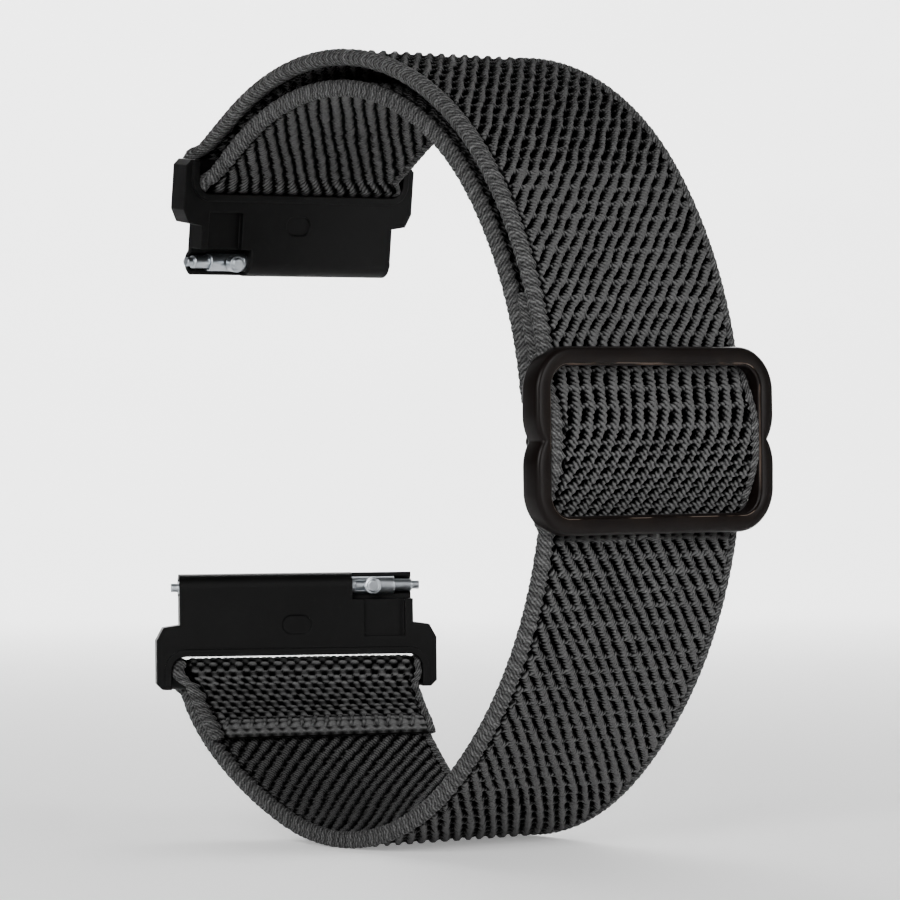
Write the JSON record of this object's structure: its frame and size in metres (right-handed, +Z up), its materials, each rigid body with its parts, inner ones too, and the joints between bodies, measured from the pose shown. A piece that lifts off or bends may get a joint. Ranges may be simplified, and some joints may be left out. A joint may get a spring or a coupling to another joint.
{
  "type": "watch strap",
  "caption": "Elastic nylon watch strap, a looped tape with a figure-eight slider and a quick-release connector folded into each end.",
  "frame": {"origin": "on the wrist's axis, at mid-width of the tape, level with the middle of the slider", "axes": "+X along the wrist, -Y towards the slider, +Y towards the gap for the watch, +Z up"},
  "size_m": [0.0242, 0.056, 0.0649],
  "materials": {
    "tape": "ribbed nylon twill, charcoal grey",
    "thread": "sewing thread, grey",
    "slider_metal": "glossy dark coating",
    "connector": "moulded, matte black",
    "steel": "bright drawn steel"
  },
  "bodies": {
    "strap": {"tape_top": "tape", "tape_outer_front": "tape", "tape_inner_front": "tape", "tape_lower_front": "tape", "tape_bottom": "tape", "tape_lower_end": "tape", "tape_lower_fold": "tape", "tab_seam": "thread"},
    "slider": {"slider_frame": "slider_metal", "tape_bridge": "tape", "tape_slider_loop": "tape", "loop_seam": "thread"},
    "upper_connector": {"upper_connector": "connector", "upper_bar_tube": "steel", "upper_fixed_tip": "steel", "upper_bar_spring": "steel"},
    "upper_release": {"upper_plunger": "steel", "upper_release_lever": "steel"},
    "lower_connector": {"lower_connector": "connector", "lower_bar_tube": "steel", "lower_fixed_tip": "steel", "lower_bar_spring": "steel"},
    "lower_release": {"lower_plunger": "steel", "lower_release_lever": "steel"}
  },
  "joints": [
    {"name": "slider_travel", "type": "hinge", "parent": "strap", "child": "slider", "pos_m": [0, 0.01, 0], "axis": [1, 0, 0], "range_deg": [-16, 24], "deforming": ["tape_outer_front", "tape_inner_front", "tape_lower_front", "tape_bridge", "tape_slider_loop"]},
    {"name": "upper_swing", "type": "hinge", "parent": "strap", "child": "upper_connector", "pos_m": [0, 0.02115, 0.02322], "axis": [1, 0, 0], "range_deg": [-40, 60]},
    {"name": "lower_swing", "type": "hinge", "parent": "strap", "child": "lower_connector", "pos_m": [0.0006, 0.0224, -0.0202], "axis": [0.866, -0.5, 0], "range_deg": [-60, 60]},
    {"name": "upper_release_slide", "type": "slide", "parent": "upper_connector", "child": "upper_release", "axis": [1, 0, 0], "range_m": [0, 0.0009], "stiffness_N_per_m": 300, "springref_m": -0.0015, "deforming": ["upper_bar_spring"]},
    {"name": "lower_release_slide", "type": "slide", "parent": "lower_connector", "child": "lower_release", "axis": [-0.866, 0.5, 0], "range_m": [0, 0.0009], "stiffness_N_per_m": 300, "springref_m": -0.0015, "deforming": ["lower_bar_spring"]}
  ]
}
